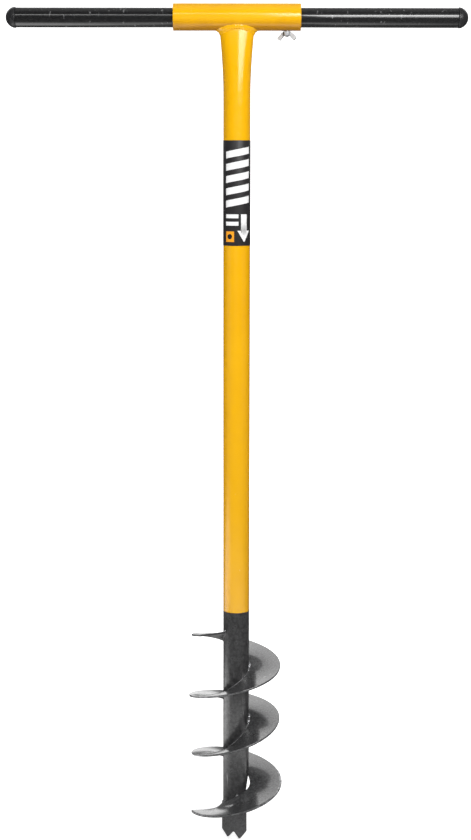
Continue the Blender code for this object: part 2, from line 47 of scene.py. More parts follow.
# dimensions shared with the CAD part, in metres
TUBE_R, TUBE_WALL = 17.45 * MM, 3.2 * MM
JOINT_Z, AUGER_TUBE_END_Z = 319.0 * MM, 50.0 * MM
SOCKET_Z, SOCKET_R, SOCKET_BORE_R, SOCKET_LEN = 1096.4 * MM, 17.45 * MM, 13.7 * MM, 162.8 * MM
FLARE_START_Z, FLARE_HALF_WIDTH = 998.0 * MM, 22.1 * MM
BAR_R, BAR_WALL, BAR_HALF = 12.7 * MM, 2.0 * MM, 281.7 * MM
BAR_Z = SOCKET_Z - (SOCKET_BORE_R - BAR_R - GAP)
CAP_LIP_R, CAP_LIP_LEN, CAP_DOME_LEN, CAP_STEM_LEN = 13.3 * MM, 2.7 * MM, 10.6 * MM, 22.0 * MM
SCREW_X, SCREW_R, SCREW_HOLE_R = 63.65 * MM, 3.0 * MM, 3.3 * MM
SCREW_TOP_Z = SOCKET_Z - SOCKET_BORE_R
SCREW_END_Z = SOCKET_Z - SOCKET_R - 7.75 * MM
HUB_TOP_Z, HUB_LEN, HUB_TOP_R, HUB_LOW_R = SOCKET_Z - SOCKET_R - 0.55 * MM, 5.4 * MM, 5.35 * MM, 4.3 * MM
WING_THICK, WING_TURN = 1.9 * MM, math.radians(-28)
FLIGHT_THICK, FLIGHT_R = 2.9 * MM, 58.8 * MM
FLIGHT_TOP_DEG, FLIGHT_END_DEG = 217.0, -892.0
LOBE_EXTRA = (1.3 * MM, 0.9 * MM, 4.6 * MM, 0.0 * MM, 1.7 * MM, 3.3 * MM, 2.3 * MM)
RIM_DEG = (-892.0, -810.0, -720.0, -630.0, -540.0, -450.0, -360.0, -270.0, -180.0, -90.0, 0.0, 90.0, 217.0)
RIM_Z = (40.9, 56.1, 80.2, 103.4, 120.4, 143.7, 170.2, 185.8, 201.5, 222.4, 243.4, 263.8, 293.7)
RIM_RAISE, CURL, CURL_REACH, STAND_OFF = 2.5 * MM, 8.0 * MM, 6.5 * MM, 1.1 * MM
PILOT_TURN = math.radians(-24)
LABEL_LOW_Z, LABEL_TOP_Z = 806.2 * MM, 940.8 * MM
LABEL_IN_R, LABEL_OUT_R = TUBE_R + 0.08 * MM, TUBE_R + 0.25 * MM


# ================================================================== node helpers
class Nodes:
    """A small helper for building a procedural material."""

    def __init__(self, name):
        self.mat = bpy.data.materials.new(name)
        self.mat.use_nodes = True
        self.tree = self.mat.node_tree
        self.bsdf = self.tree.nodes["Principled BSDF"]
        self.coord = self.add("ShaderNodeTexCoord").outputs["Object"]

    def add(self, kind, **props):
        node = self.tree.nodes.new(kind)
        for key, value in props.items():
            setattr(node, key, value)
        return node

    def link(self, a, b):
        self.tree.links.new(a, b)

    def value(self, socket, v):
        if hasattr(v, "is_output") or isinstance(v, bpy.types.NodeSocket):
            self.link(v, socket)
        else:
            socket.default_value = v

    def noise(self, scale, detail=3.0, rough=0.5, stretch=(1, 1, 1), distort=0.0):
        mapping = self.add("ShaderNodeMapping")
        self.link(self.coord, mapping.inputs["Vector"])
        mapping.inputs["Scale"].default_value = stretch
        node = self.add("ShaderNodeTexNoise")
        self.link(mapping.outputs["Vector"], node.inputs["Vector"])
        node.inputs["Scale"].default_value = scale
        node.inputs["Detail"].default_value = detail
        node.inputs["Roughness"].default_value = rough
        node.inputs["Distortion"].default_value = distort
        return node.outputs["Fac"]

    def cells(self, scale, feature="F1", rand=1.0, smooth=None):
        node = self.add("ShaderNodeTexVoronoi", feature=feature)
        self.link(self.coord, node.inputs["Vector"])
        node.inputs["Scale"].default_value = scale
        node.inputs["Randomness"].default_value = rand
        if smooth is not None:
            node.inputs["Smoothness"].default_value = smooth
        return node.outputs["Distance"]

    def math(self, op, a, b=None, clamp=False):
        node = self.add("ShaderNodeMath", operation=op, use_clamp=clamp)
        self.value(node.inputs[0], a)
        if b is not None:
            self.value(node.inputs[1], b)
        return node.outputs[0]

    def ramp(self, fac, stops, interp="LINEAR"):
        node = self.add("ShaderNodeValToRGB")
        node.color_ramp.interpolation = interp
        els = node.color_ramp.elements
        while len(els) < len(stops):
            els.new(0.5)
        for el, (pos, col) in zip(els, stops):
            el.position = pos
            el.color = (*col, 1.0) if isinstance(col, tuple) else (col, col, col, 1.0)
        self.link(fac, node.inputs["Fac"])
        return node.outputs["Color"]

    def range(self, v, lo, hi, to_lo=0.0, to_hi=1.0):
        node = self.add("ShaderNodeMapRange")
        node.interpolation_type = "SMOOTHSTEP"
        self.value(node.inputs["Value"], v)
        node.inputs["From Min"].default_value = lo
        node.inputs["From Max"].default_value = hi
        node.inputs["To Min"].default_value = to_lo
        node.inputs["To Max"].default_value = to_hi
        return node.outputs["Result"]

    def mix(self, fac, a, b, blend="MIX"):
        node = self.add("ShaderNodeMix", data_type="RGBA", blend_type=blend)
        self.value(node.inputs[0], fac)
        for sock, v in ((node.inputs[6], a), (node.inputs[7], b)):
            if isinstance(v, tuple):
                sock.default_value = (*v, 1.0)
            else:
                self.link(v, sock)
        return node.outputs[2]

    def lerp(self, fac, a, b):
        node = self.add("ShaderNodeMix", data_type="FLOAT")
        self.value(node.inputs[0], fac)
        self.value(node.inputs[2], a)
        self.value(node.inputs[3], b)
        return node.outputs[0]

    def xyz(self):
        node = self.add("ShaderNodeSeparateXYZ")
        self.link(self.coord, node.inputs[0])
        return node.outputs

    def crevice(self, reach, samples=6):
        """1 in tight corners, 0 on open faces."""
        node = self.add("ShaderNodeAmbientOcclusion", samples=samples)
        node.inputs["Distance"].default_value = reach
        return self.math("SUBTRACT", 1.0, node.outputs["AO"], clamp=True)

    def radius(self, cx=0.0, cy=0.0):
        p = self.xyz()
        x = self.math("SUBTRACT", p[0], cx)
        y = self.math("SUBTRACT", p[1], cy)
        return self.math("SQRT", self.math("ADD", self.math("MULTIPLY", x, x), self.math("MULTIPLY", y, y)))

    def bump(self, height, distance, strength=1.0, normal=None):
        node = self.add("ShaderNodeBump")
        node.inputs["Distance"].default_value = distance
        node.inputs["Strength"].default_value = strength
        self.link(height, node.inputs["Height"])
        if normal is not None:
            self.link(normal, node.inputs["Normal"])
        return node.outputs["Normal"]

    def set(self, **values):
        for key, v in values.items():
            sock = self.bsdf.inputs[key.replace("_", " ")]
            if isinstance(v, tuple) and len(v) == 3:
                sock.default_value = (*v, 1.0)
            else:
                self.value(sock, v)
        return self.mat


def yellow_coat(name, weldy=False):
    """Semi-gloss powder coat: orange peel, slight colour drift, rubbed and dusty patches, chipped rims, and painted
    shade at grazing edges, in crevices and under the socket.
    """
    n = Nodes(name)
    drift = n.noise(9.0, 4.0, 0.55)
    base = n.ramp(drift, [(0.30, (0.790, 0.395, 0.0015)), (0.52, (0.815, 0.420, 0.002)), (0.72, (0.835, 0.440, 0.003))])
    # painted shade: the coat's colour darkens towards edges seen at a grazing angle
    grazing_shade = n.add("ShaderNodeLayerWeight")
    grazing_shade.inputs["Blend"].default_value = 0.28
    base = n.mix(n.math("MULTIPLY", grazing_shade.outputs["Facing"], 0.55), base, (0.60, 0.225, 0.004))
    fine = n.noise(2600.0, 2.0, 0.5)
    base = n.mix(n.range(fine, 0.62, 0.80, 0.0, 0.10), base, (0.80, 0.38, 0.0))
    # painted shade: the colour darkens in crevices, corners and joints
    crevice_shade = n.range(n.crevice(3.0 * MM), 0.30, 0.85)
    base = n.mix(n.math("MULTIPLY", crevice_shade, 0.75), base, (0.20, 0.072, 0.002))
    rub = n.math("MULTIPLY", n.range(n.noise(38.0, 5.0, 0.65, (1, 1, 0.35)), 0.60, 0.76), n.range(n.noise(420.0, 3.0, 0.6), 0.42, 0.62))
    base = n.mix(n.math("MULTIPLY", rub, 0.16), base, (0.62, 0.30, 0.02))
    rough = n.lerp(rub, n.range(n.noise(160.0, 3.0), 0.3, 0.7, 0.15, 0.21), 0.5)
    peel = n.noise(620.0, 2.0, 0.45)
    broad = n.noise(90.0, 2.0, 0.5)
    normal = n.bump(peel, 0.00010, 0.55)
    normal = n.bump(broad, 0.0006, 0.22, normal)
    if weldy:
        ripple = n.noise(240.0, 3.0, 0.6)
        normal = n.bump(ripple, 0.0006, 0.5, normal)
    p = n.xyz()
    if name == "yellow_socket":
        # painted shade: the socket's colour darkens towards its underside
        underside_shade = n.range(n.math("ADD", p[2], n.range(n.noise(60.0, 3.0), 0.3, 0.7, -0.8 * MM, 0.8 * MM)), SOCKET_Z - 1.0 * MM, SOCKET_Z - 15.5 * MM)
        base = n.mix(n.math("MULTIPLY", underside_shade, 0.78), base, (0.36, 0.145, 0.001))
        # the coat is thin and chipped on the sharp ends of the socket
        ends = n.range(n.math("ABSOLUTE", p[0]), SOCKET_LEN / 2 - 1.5 * MM, SOCKET_LEN / 2 + 0.2 * MM)
        chip = n.math("MULTIPLY", ends, n.range(n.noise(520.0, 4.0, 0.7), 0.56, 0.66))
    elif name == "yellow_shaft":
        ends = n.range(p[2], JOINT_Z + 1.4 * MM, JOINT_Z + 0.1 * MM)
        chip = n.math("MULTIPLY", ends, n.range(n.noise(520.0, 4.0, 0.7), 0.60, 0.70))
    else:
        chip = None
    coat = 0.0
    if chip is not None:
        base = n.mix(chip, base, (0.16, 0.12, 0.09))
        rough = n.lerp(chip, rough, 0.62)
        normal = n.bump(chip, -0.00008, 0.8, normal)
    return n.set(Base_Color=base, Roughness=rough, Normal=normal, Metallic=0.0, Coat_Weight=coat, Coat_Roughness=0.16, Specular_IOR_Level=0.45)


def hammered(name, dark, light, rough_lo, rough_hi, cell=420.0, depth=0.00010, worn_rim=None, gloss=0.4, speck=0.5, spec=0.5, sheen=0.1):
    """Dark hammered coat: dimpled cells, metallic flecks, small scratches that show steel."""
    n = Nodes(name)
    cells = n.cells(cell, "SMOOTH_F1", 1.0, 0.6)
    mottle = n.noise(cell * 0.55, 4.0, 0.6, distort=0.6)
    tone = n.math("ADD", n.math("MULTIPLY", cells, 0.6), n.math("MULTIPLY", mottle, 0.6))
    base = n.ramp(tone, [(0.25, light), (0.52, tuple((a + b) / 2 for a, b in zip(dark, light))), (0.78, dark)])
    fleck = n.range(n.noise(2400.0, 1.0, 0.5), 0.66, 0.74)
    base = n.mix(n.math("MULTIPLY", fleck, speck), base, (0.32, 0.32, 0.33))
    # painted shade: the colour darkens in crevices, corners and joints
    crevice_shade = n.range(n.crevice(3.0 * MM), 0.30, 0.9)
    base = n.mix(n.math("MULTIPLY", crevice_shade, 0.6), base, (0.006, 0.006, 0.006))
    scratch = n.math("MULTIPLY", n.range(n.noise(260.0, 2.0, 0.5, (1.0, 1.0, 0.06), 0.2), 0.655, 0.685), n.range(n.noise(26.0, 2.0), 0.50, 0.62))
    bare = n.math("MULTIPLY", scratch, 0.35)
    if worn_rim is not None:
        lo, hi = worn_rim
        edge = n.math("MULTIPLY", n.range(n.radius(), lo, hi), n.range(n.noise(210.0, 4.0, 0.7), 0.44, 0.58))
        bare = n.math("MAXIMUM", bare, n.math("MULTIPLY", edge, 0.75))
    base = n.mix(bare, base, (0.42, 0.42, 0.43))
    if worn_rim is not None:
        # painted highlight: a thin pale line along the flight's joint with the tube
        off = n.radius()
        seam_highlight = n.math("MULTIPLY", n.range(off, TUBE_R + 0.15 * MM, TUBE_R + 0.35 * MM), n.range(off, TUBE_R + 0.95 * MM, TUBE_R + 0.60 * MM))
        base = n.mix(n.math("MULTIPLY", seam_highlight, n.range(n.noise(110.0, 3.0), 0.38, 0.60, 0.15, 0.85)), base, (0.30, 0.30, 0.305))
    rough = n.range(tone, 0.25, 0.8, rough_lo, rough_hi)
    rough = n.lerp(bare, rough, 0.32)
    height = n.math("ADD", n.math("MULTIPLY", cells, -0.8), n.math("MULTIPLY", mottle, 0.7))
    normal = n.bump(height, depth, 0.8)
    normal = n.bump(n.noise(70.0, 2.0), 0.0006, 0.2, normal)
    return n.set(Base_Color=base, Roughness=rough, Normal=normal, Metallic=n.math("MULTIPLY", bare, 0.9), Coat_Weight=gloss, Coat_Roughness=sheen, Specular_IOR_Level=spec)


def weld_metal():
    n = Nodes("weld_bright")
    tone = n.noise(520.0, 4.0, 0.6)
    base = n.ramp(tone, [(0.3, (0.05, 0.05, 0.052)), (0.5, (0.30, 0.30, 0.31)), (0.66, (0.62, 0.62, 0.64))])
    normal = n.bump(n.noise(700.0, 3.0, 0.6), 0.00025, 0.7)
    return n.set(Base_Color=base, Roughness=n.range(tone, 0.3, 0.7, 0.42, 0.18), Metallic=0.75, Normal=normal)


def cap_plastic():
    n = Nodes("cap_moulded")
    grain = n.noise(1500.0, 3.0, 0.6)
    scuff = n.math("MULTIPLY", n.range(n.noise(140.0, 5.0, 0.7), 0.56, 0.70), 0.5)
    base = n.mix(scuff, (0.018, 0.018, 0.019), (0.070, 0.069, 0.068))
    normal = n.bump(grain, 0.00008, 0.7)
    normal = n.bump(n.noise(170.0, 3.0), 0.0004, 0.25, normal)
    return n.set(Base_Color=base, Roughness=n.lerp(scuff, 0.36, 0.62), Normal=normal, Specular_IOR_Level=0.45)


def zinc(name, rough=0.3):
    n = Nodes(name)
    spangle = n.cells(900.0, "F1")
    tone = n.noise(380.0, 3.0, 0.6)
    base = n.ramp(n.math("ADD", n.math("MULTIPLY", spangle, 0.35), tone), [(0.35, (0.50, 0.51, 0.53)), (0.62, (0.74, 0.75, 0.77)), (0.85, (0.84, 0.85, 0.86))])
    dull = n.range(n.noise(210.0, 4.0, 0.6), 0.55, 0.72)
    base = n.mix(n.math("MULTIPLY", dull, 0.35), base, (0.34, 0.33, 0.31))
    normal = n.bump(n.noise(1300.0, 3.0, 0.6), 0.00004, 0.6)
    return n.set(Base_Color=base, Roughness=n.lerp(dull, rough, rough + 0.22), Metallic=1.0, Normal=normal)


def bare_steel():
    n = Nodes("steel_inside")
    tone = n.noise(60.0, 5.0, 0.65, (1, 1, 0.2))
    base = n.ramp(tone, [(0.3, (0.20, 0.19, 0.185)), (0.6, (0.36, 0.35, 0.34))])
    rust = n.math("MULTIPLY", n.range(n.noise(95.0, 6.0, 0.7), 0.58, 0.72), 0.5)
    base = n.mix(rust, base, (0.16, 0.07, 0.03))
    return n.set(Base_Color=base, Roughness=n.lerp(rust, 0.42, 0.8), Metallic=n.lerp(rust, 0.9, 0.1), Normal=n.bump(tone, 0.0001, 0.4))


def film(name, colour, rough=0.48, ink=0.0):
    """Printed plastic film: very fine grain, faint scuffs, a little stretch along the tube."""
    n = Nodes(name)
    scuff = n.math("MULTIPLY", n.range(n.noise(300.0, 4.0, 0.65, (1, 1, 0.15)), 0.60, 0.72), n.range(n.noise(30.0, 2.0), 0.48, 0.60))
    grain = n.noise(1800.0, 2.0)
    base = n.mix(n.range(grain, 0.35, 0.70, 0.0, 0.10), colour, tuple(0.55 * c for c in colour))
    base = n.mix(n.math("MULTIPLY", scuff, 0.22), base, (0.30, 0.30, 0.30))
    normal = n.bump(n.noise(900.0, 2.0), 0.00003, 0.5)
    return n.set(Base_Color=base, Roughness=n.lerp(scuff, rough, 0.6), Normal=normal, Specular_IOR_Level=0.35, Coat_Weight=0.08, Coat_Roughness=0.3)


M_SOCKET = yellow_coat("yellow_socket")
M_SHAFT = yellow_coat("yellow_shaft")
M_RING = yellow_coat("yellow_weld", weldy=True)
M_TUBE = hammered("dark_tube", (0.017, 0.017, 0.0175), (0.058, 0.058, 0.059), 0.24, 0.40, 230.0, 0.00026, gloss=0.5, speck=0.25)
M_FLIGHT = hammered("dark_flight", (0.034, 0.034, 0.035), (0.078, 0.078, 0.080), 0.15, 0.25, 330.0, 0.00006, worn_rim=(FLIGHT_R - 0.5 * MM, FLIGHT_R + 2.0 * MM), gloss=0.7, speck=0.3)
M_BAR = hammered("dark_bar", (0.005, 0.005, 0.0055), (0.014, 0.014, 0.0145), 0.26, 0.40, 330.0, 0.00020, gloss=1.0, speck=0.15, spec=0.2, sheen=0.08)
M_POINT = hammered("dark_point", (0.075, 0.075, 0.077), (0.155, 0.155, 0.158), 0.32, 0.48, 500.0, 0.00008, gloss=0.2, speck=0.3)
M_WELD = weld_metal()
M_CAP = cap_plastic()
def dull_wings():
    """The wings keep a pale, dull plating; the hub between them is burnished."""
    n = Nodes("zinc_wing_dull")
    tone = n.noise(420.0, 3.0, 0.6)
    off = n.radius(SCREW_X, 0.0)
    wing_part = n.range(off, 4.6 * MM, 6.2 * MM)
    pale = n.ramp(tone, [(0.3, (0.66, 0.67, 0.68)), (0.7, (0.82, 0.83, 0.84))])
    bright = n.ramp(tone, [(0.3, (0.55, 0.56, 0.58)), (0.7, (0.80, 0.81, 0.83))])
    base = n.mix(wing_part, bright, pale)
    # painted shade: wings and hub turn nearly black at edges seen at a grazing angle
    grazing_shade = n.add("ShaderNodeLayerWeight")
    grazing_shade.inputs["Blend"].default_value = 0.5
    base = n.mix(n.range(grazing_shade.outputs["Facing"], 0.12, 0.42, 0.0, 0.95), base, (0.045, 0.045, 0.047))
    # painted shade: the colour darkens in crevices and corners
    crevice_shade = n.range(n.crevice(2.0 * MM), 0.25, 0.8)
    base = n.mix(n.math("MULTIPLY", crevice_shade, 0.8), base, (0.05, 0.05, 0.05))
    normal = n.bump(n.noise(1300.0, 3.0, 0.6), 0.00004, 0.6)
    return n.set(Base_Color=base, Roughness=n.lerp(wing_part, 0.30, 0.45), Metallic=n.lerp(wing_part, 0.45, 0.30), Normal=normal)


M_ZINC = dull_wings()
M_STUD = zinc("zinc_stud", 0.3)
M_STEEL = bare_steel()
M_LABEL = film("label_black", (0.020, 0.019, 0.020))
M_WHITE = film("label_white", (0.86, 0.86, 0.86), 0.42)
M_ORANGE = film("label_orange", (0.88, 0.34, 0.01), 0.42)


# ================================================================== mesh helpers
def finish(name, bm, mat, body, nodes=(), origin=(0, 0, 0), angle=35.0):
    bmesh.ops.remove_doubles(bm, verts=bm.verts, dist=1e-7)
    bmesh.ops.recalc_face_normals(bm, faces=bm.faces)
    bmesh.ops.translate(bm, verts=bm.verts, vec=origin)
    mesh = bpy.data.meshes.new(name)
    bm.to_mesh(mesh)
    bm.free()
    mesh.materials.append(mat)
    mesh.shade_smooth()
    mesh.set_sharp_from_angle(angle=math.radians(angle))
    obj = bpy.data.objects.new(name, mesh)
    bpy.context.scene.collection.objects.link(obj)
    register(obj, body, nodes)
    return obj


def register(obj, body, nodes=()):
    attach(obj, body)
    if nodes:
        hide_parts(*nodes)


def spun(points, steps, axis=(0, 0, 1), closed=True):
    bm = bmesh.new()
    verts = [bm.verts.new((r, 0, h)) for r, h in points]
    last = len(verts) if closed else len(verts) - 1
    edges = [bm.edges.new((verts[i], verts[(i + 1) % len(verts)])) for i in range(last)]
    bmesh.ops.spin(bm, geom=verts + edges, cent=(0, 0, 0), axis=(0, 0, 1), angle=2 * math.pi, steps=steps, use_merge=True)
    bmesh.ops.remove_doubles(bm, verts=bm.verts, dist=1e-7)
    if axis != (0, 0, 1):
        turn = Vector((0, 0, 1)).rotation_difference(Vector(axis)).to_matrix().to_4x4()
        bmesh.ops.transform(bm, matrix=turn, verts=bm.verts)
    bmesh.ops.recalc_face_normals(bm, faces=bm.faces)
    return bm


def lofted(rings, closed):
    bm = bmesh.new()
    loops = [[bm.verts.new(p) for p in ring] for ring in rings]
    count = len(loops[0])
    for a, b in zip(loops, loops[1:] + ([loops[0]] if closed else [])):
        for i in range(count):
            j = (i + 1) % count
            bm.faces.new((a[i], a[j], b[j], b[i]))
    if not closed:
        bm.faces.new(loops[0])
        bm.faces.new(reversed(loops[-1]))
    bmesh.ops.recalc_face_normals(bm, faces=bm.faces)
    return bm


def boolean(bm, cutter, operation):
    """One exact boolean between two bmeshes drawn in the row frame."""
    out = []
    for tag, b in (("a", bm), ("b", cutter)):
        mesh = bpy.data.meshes.new("tool_" + tag)
        b.to_mesh(mesh)
        b.free()
        o = bpy.data.objects.new("tool_" + tag, mesh)
        bpy.context.scene.collection.objects.link(o)
        out.append(o)
    mod = out[0].modifiers.new("cut", "BOOLEAN")
    mod.operation, mod.solver, mod.object = operation, "EXACT", out[1]
    bpy.context.view_layer.update()
    baked = bpy.data.meshes.new_from_object(out[0].evaluated_get(bpy.context.evaluated_depsgraph_get()))
    result = bmesh.new()
    result.from_mesh(baked)
    for o in out:
        bpy.data.objects.remove(o, do_unlink=True)
    bpy.data.meshes.remove(baked)
    return result


def rounded(r_in, r_out, h0, h1, radius, steps=4):
    """Closed tube outline with rounded rims, as (radius, height) points."""
    pts = []
    for cr, ch, a0 in (
        (r_out - radius, h0 + radius, -90), (r_out - radius, h1 - radius, 0), (r_in + radius, h1 - radius, 90), (r_in + radius, h0 + radius, 180),
    ):
        for k in range(steps + 1):
            a = math.radians(a0 + 90 * k / steps)
            pts.append((cr + radius * math.cos(a), ch + radius * math.sin(a)))
    return pts


# ================================================================== socket, shaft, ring
half = SOCKET_LEN / 2
sock = spun(rounded(SOCKET_BORE_R, SOCKET_R, -half, half, 0.55 * MM), 128, axis=(1, 0, 0))
bmesh.ops.translate(sock, verts=sock.verts, vec=(0, 0, SOCKET_Z))
hole = bmesh.new()
bmesh.ops.create_cone(hole, cap_ends=True, segments=48, radius1=SCREW_HOLE_R, radius2=SCREW_HOLE_R, depth=12 * MM, matrix=Matrix.Translation((SCREW_X, 0, SOCKET_Z - SOCKET_R)))
finish("socket_tube", boolean(sock, hole, "DIFFERENCE"), M_SOCKET, "auger_body", ["t_socket"])


def flare(z):
    s = min(max((z - FLARE_START_Z) / (SOCKET_Z - SOCKET_R - FLARE_START_Z), 0.0), 1.12)
    return TUBE_R + (FLARE_HALF_WIDTH - TUBE_R) * (1.35 * s * s - 0.35 * s**3)


def half_depth(a):
    girth = 2 * math.pi * TUBE_R
    lo, hi = 0.4 * TUBE_R, TUBE_R
    for _ in range(60):
        b = (lo + hi) / 2
        p = math.pi * (3 * (a + b) - math.sqrt((3 * a + b) * (a + 3 * b)))
        lo, hi = (b, hi) if p < girth else (lo, b)
    return (lo + hi) / 2


def oval(z, inset, seg=128):
    a = flare(z)
    b = TUBE_R if a - TUBE_R < 1e-7 else half_depth(a)
    return [((a - inset) * math.cos(t), (b - inset) * math.sin(t), z) for t in (2 * math.pi * i / seg for i in range(seg))]


low = JOINT_Z + 0.15 * MM
outer = [oval(low, 0.42 * MM), oval(low + 0.12 * MM, 0.12 * MM), oval(low + 0.42 * MM, 0.0)]
outer += [oval(z, 0.0) for z in [FLARE_START_Z] + [FLARE_START_Z + (SOCKET_Z - 6 * MM - FLARE_START_Z) * k / 24 for k in range(1, 25)]]
inner = [oval(z, TUBE_WALL) for z in [FLARE_START_Z + (SOCKET_Z - 6 * MM - FLARE_START_Z) * k / 8 for k in range(8, 0, -1)] + [FLARE_START_Z, low]]
cope = bmesh.new()
bmesh.ops.create_cone(cope, cap_ends=True, segments=128, radius1=SOCKET_R + GAP, radius2=SOCKET_R + GAP, depth=120 * MM,
                      matrix=Matrix.Translation((0, 0, SOCKET_Z)) @ Matrix.Rotation(math.pi / 2, 4, "Y"))
finish("shaft_yellow", boolean(lofted(outer + inner, True), cope, "DIFFERENCE"), M_SHAFT, "auger_body", ["shaft_tube"])

join_a = flare(SOCKET_Z - SOCKET_R)
join_b = half_depth(join_a)
SOCKET_CLEAR = SOCKET_R + 0.05 * MM
rings = []
STEPS = 220
for i in range(STEPS):
    t = 2 * math.pi * i / STEPS
    side = math.cos(t) ** 2
    normal = Vector((math.cos(t) / join_a, math.sin(t) / join_b, 0)).normalized()
    base = Vector((join_a * math.cos(t), join_b * math.sin(t), 0)) + normal * 0.05 * MM
    wob = 0.10 * math.sin(17 * t) + 0.06 * math.sin(41 * t + 1.0) + 0.05 * math.sin(5 * t + 0.4)
    out = (2.2 + 3.3 * side + wob) * MM
    down = (3.2 + 2.7 * side + wob) * MM

    def under_socket(d, base=base, normal=normal):
        p = base + normal * d
        return SOCKET_Z - math.sqrt(max(SOCKET_CLEAR**2 - p.y**2, 1e-12))

    top = [(d, under_socket(d)) for d in (0.0, out / 3, 2 * out / 3, out)]
    low_z = under_socket(0.0) - down
    ctrl_concave = (0.12 * out, under_socket(0.0) - 0.12 * down)
    ctrl_convex = (2.8 * MM, under_socket(0.0) - 0.75 * down)
    ctrl = tuple(side * c + (1 - side) * v for c, v in zip(ctrl_concave, ctrl_convex))
    tail = []
    for k in range(1, 24):
        u = k / 24
        d = (1 - u) ** 2 * out + 2 * u * (1 - u) * ctrl[0]
        z = (1 - u) ** 2 * top[-1][1] + 2 * u * (1 - u) * ctrl[1] + u * u * low_z
        roll = 0.16 * MM * math.sin(math.pi * u) * (0.5 + 0.5 * math.cos(2 * math.pi * i / 5.0 - 2.2 * abs(u - 0.5) * 2))
        groove = (0.42 - 0.25 * side) * MM * math.exp(-(((u - 0.47) / 0.085) ** 2))
        tail.append((max(d + roll - groove, 0.02 * MM), z - roll + 0.4 * groove))
    rings.append([tuple(base + normal * d + Vector((0, 0, z))) for d, z in top + tail + [(0.0, low_z)]])
finish("weld_ring", lofted(rings, True), M_RING, "auger_body", ["socket_weld_ring"], angle=70)

# ================================================================== auger tube, spigot
hi_z = JOINT_Z - 0.15 * MM
relief = bmesh.new()
face = relief.faces.new([relief.verts.new((x * MM, -20 * MM, z * MM)) for x, z in ((11.95, 45.0), (11.95, 60.0), (13.4, 70.0), (17.7, 98.0), (24.0, 98.0), (24.0, 45.0))])
pushed = bmesh.ops.extrude_face_region(relief, geom=[face])
bmesh.ops.translate(relief, verts=[g for g in pushed["geom"] if isinstance(g, bmesh.types.BMVert)], vec=(0, 40 * MM, 0))
bmesh.ops.recalc_face_normals(relief, faces=relief.faces)
tube = boolean(spun(rounded(TUBE_R - TUBE_WALL, TUBE_R, AUGER_TUBE_END_Z, hi_z, 0.3 * MM), 128), relief, "DIFFERENCE")
finish("tube_dark", tube, M_TUBE, "auger_body", ["auger_tube"])
bore = TUBE_R - TUBE_WALL
finish("spigot_sleeve", spun(rounded(bore - GAP - 2.6 * MM, bore - GAP, JOINT_Z - 45 * MM, JOINT_Z + 45 * MM, 0.6 * MM), 96), M_STEEL, "auger_body", ["joint_spigot"])

# ================================================================== flight
knot_t = np.radians(np.array(RIM_DEG))
knot_z = np.array(RIM_Z) * MM


def natural_cubic(x, y):
    n = len(x)
    a = np.zeros((n, n))
    r = np.zeros(n)
    a[0, 0] = a[-1, -1] = 1.0
    for i in range(1, n - 1):
        h0, h1 = x[i] - x[i - 1], x[i + 1] - x[i]
        a[i, i - 1], a[i, i], a[i, i + 1] = h0, 2 * (h0 + h1), h1
        r[i] = 6 * ((y[i + 1] - y[i]) / h1 - (y[i] - y[i - 1]) / h0)
    return np.linalg.solve(a, r)


knot_m = natural_cubic(knot_t, knot_z)


def rim_z(t):
    i = int(np.clip(np.searchsorted(knot_t, t) - 1, 0, len(knot_t) - 2))
    h = knot_t[i + 1] - knot_t[i]
    a, b = (knot_t[i + 1] - t) / h, (t - knot_t[i]) / h
    return float(a * knot_z[i] + b * knot_z[i + 1] + ((a**3 - a) * knot_m[i] + (b**3 - b) * knot_m[i + 1]) * h * h / 6)


def rim_r(t):
    lobe = min(max(round(1 - t / math.pi), 0), len(LOBE_EXTRA) - 1)
    return FLIGHT_R + LOBE_EXTRA[lobe] * math.cos(t) ** 2


def ease01(u):
    u = min(max(u, 0.0), 1.0)
    return u * u * (3 - 2 * u)


def lead(t):
    return ease01((math.radians(-712) - t) / math.radians(100))


def opens(t):
    return ease01((math.radians(-656) - t) / math.radians(24))


def inner_r(t):
    closes = ease01((math.radians(-738) - t) / math.radians(40))
    return TUBE_R + GAP + STAND_OFF * opens(t) * (1 - 0.05 * closes) * (1 - 0.30 * ease01((math.radians(-835) - t) / math.radians(50)))


def flight_mid(t, r):
    span = (rim_r(t) - r) / (rim_r(t) - inner_r(t))
    curled = lead(t)
    return rim_z(t) - RIM_RAISE * span * (1 - curled) + CURL * curled * math.exp(-((r - inner_r(t)) / CURL_REACH) ** 1.3)


T_TOP, T_END = math.radians(FLIGHT_TOP_DEG), math.radians(FLIGHT_END_DEG)
steps = 420
spans = (0.0, 0.01, 0.02, 0.032, 0.046, 0.065, 0.09, 0.13, 0.18, 0.24, 0.32, 0.42, 0.54, 0.66, 0.78, 0.88, 0.95)
rings = []
for k in range(steps + 1):
    t = T_TOP + (T_END - T_TOP) * k / steps
    r0, r1 = inner_r(t) - (0.25 * MM * (1 - opens(t))), rim_r(t)
    h = FLIGHT_THICK / 2
    rr = [r0 + (r1 - r0) * u for u in spans]
    # shallow hand-formed waves, fading to nothing at both edges
    def wave(r, t=t, r0=r0, r1=r1):
        u = (r - r0) / (r1 - r0)
        return 0.22 * MM * math.sin(math.pi * u) * math.sin(3.1 * t + 2.0 * u)
    def fillet(r, t=t, r0=r0):
        u = min(max((r - r0) / (1.9 * MM), 0.0), 1.0)
        return 1.2 * MM * (1 - u) ** 2 * (1 - opens(t))

    top = [(r * math.cos(t), r * math.sin(t), flight_mid(t, max(r, inner_r(t))) + h + wave(r) + fillet(r)) for r in rr]
    nose = []
    for j in range(1, 8):
        a = math.pi / 2 - math.pi * j / 8
        rad = r1 - 0.9 * MM + 0.9 * MM * max(math.cos(a), 0) ** 0.7
        z = rim_z(t) + h * math.sin(a)
        nose.append((rad * math.cos(t), rad * math.sin(t), z))
    bottom = [(r * math.cos(t), r * math.sin(t), flight_mid(t, max(r, inner_r(t))) - h + wave(r)) for r in reversed(rr)]
    rings.append(top + nose + bottom)
finish("flight_screw", lofted(rings, False), M_FLIGHT, "auger_body", ["auger_flight"], angle=50)


